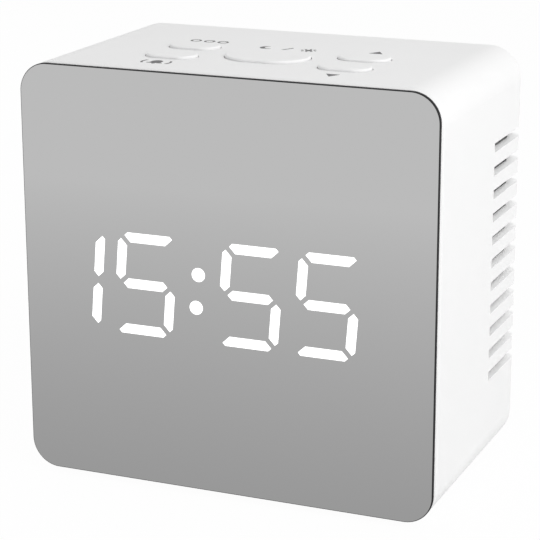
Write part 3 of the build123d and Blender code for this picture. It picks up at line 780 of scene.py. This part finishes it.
class CLOCK_OT_signs(bpy.types.Operator):
    """Prints a plain sign beside each key"""

    bl_idname = "clock.signs"
    bl_label = "Key signs"

    def execute(self, context):
        sizes = context.scene.clock_sizes
        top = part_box("housing")[1].z
        self.line = sizes.sign_line
        self.span = (top - sizes.sign_root, top + sizes.sign_lift)
        signs = (
            ("mode", 1, self.three_rings),
            ("snooze", 1, self.moon_and_sun),
            ("up", 1, self.rear_arrow),
            ("alarm", -1, self.bell),
            ("down", -1, self.front_arrow),
        )
        pieces = []
        for key, side, sign in signs:
            low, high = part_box(key + "_button")
            edge = high.y if side > 0 else low.y
            pieces += sign((low.x + high.x) / 2, edge + side * sizes.sign_gap)
        printed = join("key_signs", pieces)
        paint(printed, plain_finish("sign_ink", context.scene.clock_colours.ink, roughness=0.6, drift=0.1))
        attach(printed, "case")
        return {"FINISHED"}

    def dot(self, x, y, radius, sides=ROUND_SIDES, angle=0):
        """A filled round or many-sided sign."""
        return rod("dot", radius, (x, y), *self.span, sides, angle)

    def hole(self, x, y, radius):
        """A round cutter that goes right through a sign."""
        low, high = self.span
        return rod("hole", radius, (x, y), low - CUT_OVERRUN, high + CUT_OVERRUN)

    def ring(self, x, y, radius):
        """An open round sign."""
        return carve(self.dot(x, y, radius), self.hole(x, y, radius - self.line))

    def stroke(self, x, y, run, angle=0):
        """A straight line."""
        return bar("stroke", (run, self.line), (x, y), *self.span, angle)

    def three_rings(self, x, y):
        """Three rings in a row."""
        return [self.ring(x + step * RING_STEP, y, RING_RADIUS) for step in (-1, 0, 1)]

    def rear_arrow(self, x, y):
        """A triangle that points to the rear."""
        return [self.dot(x, y, ARROW_RADIUS, sides=3)]

    def front_arrow(self, x, y):
        """A triangle that points to the front."""
        return [self.dot(x, y, ARROW_RADIUS, sides=3, angle=math.pi)]

    def moon_and_sun(self, x, y):
        """A crescent, a slash and a disc with rays."""
        moon, sun = x - MOON_AND_SUN_REACH, x + MOON_AND_SUN_REACH
        bite = self.hole(moon + MOON_BITE_X, y + MOON_BITE_Y, MOON_BITE_RADIUS)
        pieces = [
            carve(self.dot(moon, y, MOON_RADIUS), bite),
            self.stroke(x, y, SLASH_RUN, SLASH_ANGLE),
            self.dot(sun, y, SUN_RADIUS),
        ]
        for number in range(SUN_RAYS):
            angle = number * math.tau / SUN_RAYS
            ray_x, ray_y = sun + RAY_REACH * math.cos(angle), y + RAY_REACH * math.sin(angle)
            pieces.append(self.stroke(ray_x, ray_y, RAY_RUN, angle))
        return pieces

    def bell(self, x, y):
        """A bell with a sound line on each side."""
        body = self.dot(x, y + BELL_RISE, BELL_RADIUS)
        carve(body, bar("skirt", SKIRT_SIZE, (x, y - SKIRT_DROP), *self.span), "UNION")
        carve(body, self.stroke(x, y - BRIM_DROP, BRIM_RUN), "UNION")
        carve(body, self.dot(x, y - CLAPPER_DROP, CLAPPER_RADIUS), "UNION")
        pieces = [body]
        for side in (-1, 1):
            window = bar("window", SOUND_WINDOW, (x + side * SOUND_REACH, y), *self.span)
            pieces.append(carve(self.ring(x, y, SOUND_RADIUS), window, "INTERSECT"))
        return pieces


class CLOCK_OT_springs(bpy.types.Operator):
    """Winds a wire spring at the minus end of each battery cell"""

    bl_idname = "clock.springs"
    bl_label = "Battery springs"

    def execute(self, context):
        sizes = context.scene.clock_sizes
        low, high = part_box("battery_springs")
        coils = []
        for number, cell in enumerate(CELLS):
            cell_low, cell_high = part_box(cell)
            middle = (cell_low + cell_high) / 2
            plate, tip = (low.x, cell_low.x) if plus_side(number) > 0 else (high.x, cell_high.x)
            coils.append(self.coil(sizes, plate, tip, middle))
        springs = join("wire_springs", coils)
        smooth(springs)
        paint(springs, brushed_finish("spring_wire", SPRING_TONE))
        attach(springs, "case")
        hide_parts("battery_springs")
        return {"FINISHED"}

    def coil(self, sizes, plate, tip, middle):
        """One tapered coil from its plate to its cell."""
        wire = sizes.spring_wire / 2
        base = sizes.spring_base / 2 - wire
        narrowing = (sizes.spring_base - sizes.spring_tip) / 2
        way = 1 if tip > plate else -1
        travel = tip - plate - 2 * way * wire
        deselect()
        bpy.ops.mesh.primitive_circle_add(
            vertices=WIRE_SIDES,
            radius=wire,
            location=(plate + way * wire, middle.y, middle.z),
            rotation=(math.pi / 2, 0, 0),
        )
        coil = bpy.context.object
        bpy.ops.object.transform_apply(location=False, rotation=True, scale=True)
        edit(coil, "VERT", lambda corner: True)
        bpy.ops.transform.translate(value=(0, 0, base))
        close(coil)
        wind = coil.modifiers.new("wind", "SCREW")
        wind.axis = "X"
        wind.angle = SPRING_TURNS * math.tau
        wind.screw_offset = travel
        wind.steps = STEPS_A_TURN * SPRING_TURNS
        wind.render_steps = STEPS_A_TURN * SPRING_TURNS
        bpy.ops.object.modifier_apply(modifier=wind.name)
        for corner in coil.data.vertices:
            spread = math.hypot(corner.co.y, corner.co.z)
            share = (spread - narrowing * min(1, max(0, corner.co.x / travel))) / spread
            corner.co.y *= share
            corner.co.z *= share
        edit(coil, "VERT", lambda corner: True)
        bpy.ops.mesh.fill_holes(sides=0)
        bpy.ops.mesh.normals_make_consistent(inside=False)
        close(coil)
        return named("coil")


class CLOCK_OT_socket(bpy.types.Operator):
    """Adds the dark tongue inside the power socket"""

    bl_idname = "clock.socket"
    bl_label = "Socket tongue"

    def execute(self, context):
        sizes = context.scene.clock_sizes
        low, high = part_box("power_inlet")
        x, y, z = ((start + end) / 2 for start, end in zip(low, high))
        half_width, half_thickness = sizes.tongue_width / 2, sizes.tongue_thickness / 2
        tip = high.y - sizes.tongue_setback
        tongue = block(
            "socket_tongue",
            (x - half_width, y - TONGUE_ROOT, z - half_thickness),
            (x + half_width, tip, z + half_thickness),
        )
        bevel(tongue, lambda edge: lies_at(edge, DEPTH_AXIS, tip), TONGUE_BEVEL, TONGUE_SEGMENTS)
        paint(tongue, plain_finish("socket_tongue", context.scene.clock_colours.edge, roughness=0.5))
        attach(tongue, "case")
        return {"FINISHED"}


class CLOCK_OT_stage(bpy.types.Operator):
    """Sets the floor, the soft lights, the white surround and the camera"""

    bl_idname = "clock.stage"
    bl_label = "Studio"

    def execute(self, context):
        stage = context.scene.clock_stage
        deselect()
        bpy.ops.mesh.primitive_plane_add(size=stage.floor_size)
        floor = named("studio_floor")
        # The painted shade on the mirrored floor runs from the mirror's face out to the fall
        near = -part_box("mirror_panel")[0].y
        far = near + stage.floor_fall
        paint(floor, floor_finish(stage.floor, stage.floor_lift, stage.floor_foot_shade, near, far))
        world = bpy.data.worlds.new("white_surround")
        context.scene.world = world
        white_surround(world, stage.front_light, stage.rear_light)
        self.soft_light(context, "key_light", KEY_LIGHT_PLACE, KEY_LIGHT_SIZE, stage.key_power)
        self.soft_light(context, "fill_light", FILL_LIGHT_PLACE, FILL_LIGHT_SIZE, stage.fill_power)
        self.camera(context, stage)
        context.scene.view_settings.view_transform = "Standard"
        return {"FINISHED"}

    def soft_light(self, context, name, place, size, power):
        """A square soft light that faces the clock."""
        lamp = bpy.data.lights.new(name, "AREA")
        lamp.energy = power
        lamp.size = size
        light = bpy.data.objects.new(name, lamp)
        context.scene.collection.objects.link(light)
        light.location = place
        aim = Vector(LIGHT_AIM) - Vector(place)
        light.rotation_euler = aim.to_track_quat("-Z", "Y").to_euler()

    def camera(self, context, stage):
        """The camera at its angle, with its line of sight through the aim."""
        turn, tilt, roll = stage.camera_turn, stage.camera_tilt, stage.camera_roll
        forward = Vector((
            -math.sin(turn) * math.cos(tilt),
            math.cos(turn) * math.cos(tilt),
            -math.sin(tilt),
        ))
        level = Vector((math.cos(turn), math.sin(turn), 0))
        upright = level.cross(forward)
        right = math.cos(roll) * level - math.sin(roll) * upright
        up = right.cross(forward)
        lens = bpy.data.cameras.new("camera")
        lens.lens = stage.camera_lens
        lens.clip_start = NEAREST_SEEN
        lens.clip_end = FARTHEST_SEEN
        camera = bpy.data.objects.new("camera", lens)
        context.scene.collection.objects.link(camera)
        turned = Matrix((right, up, -forward)).transposed().to_4x4()
        place = Vector(stage.camera_aim) - forward * stage.camera_distance
        camera.matrix_world = Matrix.Translation(place) @ turned
        context.scene.camera = camera


class CLOCK_PT_panel(bpy.types.Panel):
    """Sizes, colours and steps of the clock"""

    bl_idname = "CLOCK_PT_panel"
    bl_label = "Mirror alarm clock"
    bl_space_type = "VIEW_3D"
    bl_region_type = "UI"
    bl_category = "Clock"

    def draw(self, context):
        for group in (context.scene.clock_sizes, context.scene.clock_colours, context.scene.clock_stage):
            box = self.layout.box()
            for name in group.__annotations__:
                box.prop(group, name)
        for step in STEPS:
            self.layout.operator(step.bl_idname)


GROUPS = {"clock_sizes": ClockSizes, "clock_colours": ClockColours, "clock_stage": StageSettings}
STEPS = (
    CLOCK_OT_finishes,
    CLOCK_OT_mirror,
    CLOCK_OT_digits,
    CLOCK_OT_signs,
    CLOCK_OT_springs,
    CLOCK_OT_socket,
    CLOCK_OT_stage,
)


def register():
    """Adds the settings, the steps and their panel."""
    for name, group in GROUPS.items():
        bpy.utils.register_class(group)
        setattr(bpy.types.Scene, name, bpy.props.PointerProperty(type=group))
    for made in (*STEPS, CLOCK_PT_panel):
        bpy.utils.register_class(made)


def unregister():
    """Takes the panel, the steps and the settings away again."""
    for made in reversed((*STEPS, CLOCK_PT_panel)):
        bpy.utils.unregister_class(made)
    for name, group in reversed(GROUPS.items()):
        delattr(bpy.types.Scene, name)
        bpy.utils.unregister_class(group)


def main():
    """Dresses the clock step by step."""
    register()
    for step in STEPS:
        family, name = step.bl_idname.split(".")
        getattr(getattr(bpy.ops, family), name)()


if __name__ == "__main__":
    main()
